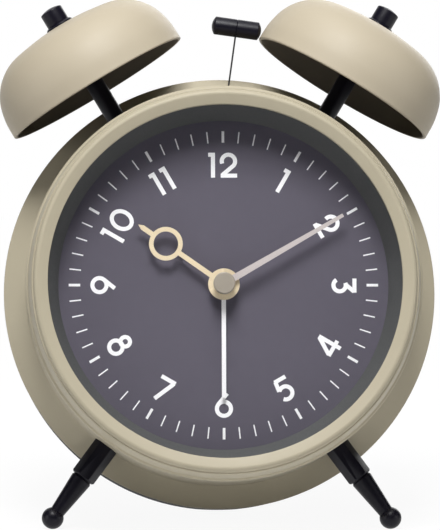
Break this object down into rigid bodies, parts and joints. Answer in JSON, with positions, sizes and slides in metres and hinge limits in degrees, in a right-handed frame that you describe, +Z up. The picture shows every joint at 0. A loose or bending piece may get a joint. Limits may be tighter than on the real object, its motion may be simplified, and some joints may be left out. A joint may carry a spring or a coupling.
{
  "type": "table alarm clock",
  "caption": "Round table alarm clock that leans back on ball-footed legs, with domed bells and a swinging striker above its flared metal case.",
  "frame": {"origin": "middle of the clock's footprint, on the table that it stands on", "axes": "+Z up from the table, +Y to the back of the clock, +X to the right seen from the front"},
  "size_m": [0.1025, 0.0758, 0.1209],
  "materials": {
    "case_paint": "satin greige paint on sheet steel",
    "bell_paint": "satin greige paint on spun steel",
    "black_metal": "black satin finish on steel",
    "lens_glass": "clear flat glass",
    "ring_plastic": "charcoal matte",
    "dial_paint": "slate satin with printed marks",
    "hour_hand_paint": "cream paint on thin metal",
    "minute_hand_paint": "pale cream paint on thin metal",
    "alarm_hand_paint": "white paint on thin metal",
    "cap_metal": "turned, satin",
    "cover_plastic": "black with a fine grain",
    "knob_plastic": "black, satin",
    "switch_plastic": "light grey, satin",
    "screw_steel": "plated",
    "movement_plastic": "black, plain",
    "wheel_plastic": "natural white",
    "arbor_brass": "turned",
    "iron": "plain",
    "magnet": "dark",
    "winding": "copper wire, lacquered",
    "board": "brown laminate",
    "crystal_can": "bright",
    "cell_jacket": "plain grey sleeve",
    "contact_metal": "nickel plated"
  },
  "bodies": {
    "clock_body": {"case_shell": "case_paint", "bezel_ring": "case_paint", "glass_lens": "lens_glass", "dial_ring": "ring_plastic", "dial_plate": "dial_paint", "bell_left": "bell_paint", "bell_right": "bell_paint", "bell_post_left": "black_metal", "bell_post_right": "black_metal", "bell_nut_left": "black_metal", "bell_nut_right": "black_metal", "bell_washers": "black_metal", "post_nuts": "screw_steel", "leg_left": "black_metal", "leg_right": "black_metal", "leg_screws": "screw_steel", "hammer_pivot_pin": "screw_steel", "striker_bracket": "iron", "striker_core": "iron", "striker_coil": "winding", "striker_screws": "screw_steel", "movement_front_case": "movement_plastic", "movement_mid_plate": "movement_plastic", "movement_rear_case": "movement_plastic", "movement_screws": "screw_steel", "stator_plate": "iron", "motor_coil": "winding", "circuit_board": "board", "quartz_crystal": "crystal_can", "rear_cover": "cover_plastic", "cover_screws": "screw_steel", "battery_cell": "cell_jacket", "battery_contact_positive": "contact_metal", "battery_contact_negative": "contact_metal"},
    "time_setting": {"time_knob": "knob_plastic", "motion_wheel": "wheel_plastic"},
    "minute_work": {"minute_hand": "minute_hand_paint", "hand_cap": "cap_metal", "minute_arbor": "arbor_brass"},
    "hour_work": {"hour_hand": "hour_hand_paint", "hour_wheel": "wheel_plastic"},
    "alarm_setting": {"alarm_knob": "knob_plastic", "alarm_arbor": "wheel_plastic"},
    "alarm_work": {"alarm_hand": "alarm_hand_paint", "alarm_wheel": "wheel_plastic"},
    "motor_rotor": {"rotor": "magnet"},
    "fourth_gear": {"fourth_wheel": "wheel_plastic"},
    "second_gear": {"second_wheel": "wheel_plastic"},
    "third_gear": {"third_wheel": "wheel_plastic"},
    "centre_gear": {"centre_wheel": "wheel_plastic"},
    "hammer": {"hammer_head": "black_metal", "hammer_wire": "iron", "hammer_lever": "iron"},
    "switch_button": {"alarm_switch": "switch_plastic"},
    "door": {"battery_door": "cover_plastic"}
  },
  "joints": [
    {"name": "time_knob_turn", "type": "hinge", "parent": "clock_body", "child": "time_setting", "pos_m": [-0.01159, 0.00233, 0.05588], "axis": [0, 0.9707, -0.2405], "continuous": true},
    {"name": "minute_turn", "type": "hinge", "parent": "clock_body", "child": "minute_work", "pos_m": [0, 0.00158, 0.05286], "axis": [0, 0.9707, -0.2405], "continuous": true},
    {"name": "hour_turn", "type": "hinge", "parent": "clock_body", "child": "hour_work", "pos_m": [0, 0.00158, 0.05286], "axis": [0, 0.9707, -0.2405], "continuous": true},
    {"name": "alarm_knob_turn", "type": "hinge", "parent": "clock_body", "child": "alarm_setting", "pos_m": [0.01384, 0.00253, 0.05672], "axis": [0, 0.9707, -0.2405], "continuous": true},
    {"name": "alarm_turn", "type": "hinge", "parent": "clock_body", "child": "alarm_work", "pos_m": [0, 0.00158, 0.05286], "axis": [0, 0.9707, -0.2405], "continuous": true},
    {"name": "rotor_turn", "type": "hinge", "parent": "clock_body", "child": "motor_rotor", "pos_m": [-0.00908, -0.00822, 0.0341], "axis": [0, 0.9707, -0.2405], "continuous": true},
    {"name": "fourth_turn", "type": "hinge", "parent": "clock_body", "child": "fourth_gear", "pos_m": [-0.01495, -0.00756, 0.03676], "axis": [0, 0.9707, -0.2405], "continuous": true},
    {"name": "second_turn", "type": "hinge", "parent": "clock_body", "child": "second_gear", "pos_m": [-0.01236, -0.00585, 0.04365], "axis": [0, 0.9707, -0.2405], "continuous": true},
    {"name": "third_turn", "type": "hinge", "parent": "clock_body", "child": "third_gear", "pos_m": [-0.00332, -0.00547, 0.0452], "axis": [0, 0.9707, -0.2405], "continuous": true},
    {"name": "centre_turn", "type": "hinge", "parent": "clock_body", "child": "centre_gear", "pos_m": [0, 0.00158, 0.05286], "axis": [0, 0.9707, -0.2405], "continuous": true},
    {"name": "hammer_swing", "type": "hinge", "parent": "clock_body", "child": "hammer", "pos_m": [0, 0.0055, 0.08656], "axis": [0, 0.9707, -0.2405], "range_deg": [-15.95, 0]},
    {"name": "alarm_switch_slide", "type": "slide", "parent": "clock_body", "child": "switch_button", "axis": [1, 0, 0], "range_m": [0, 0.003]},
    {"name": "battery_door_hinge", "type": "hinge", "parent": "clock_body", "child": "door", "pos_m": [0, 0.01878, 0.01749], "axis": [-1, 0, 0], "range_deg": [0, 100]}
  ],
  "couplings": [
    {"joint": "minute_turn", "follows": "time_knob_turn", "ratio": -3},
    {"joint": "hour_turn", "follows": "time_knob_turn", "ratio": -0.25},
    {"joint": "alarm_turn", "follows": "alarm_knob_turn", "ratio": -0.5},
    {"joint": "fourth_turn", "follows": "rotor_turn", "ratio": -0.2},
    {"joint": "second_turn", "follows": "rotor_turn", "ratio": 0.033333},
    {"joint": "third_turn", "follows": "rotor_turn", "ratio": -0.0044444},
    {"joint": "centre_turn", "follows": "rotor_turn", "ratio": 0.00055556}
  ]
}
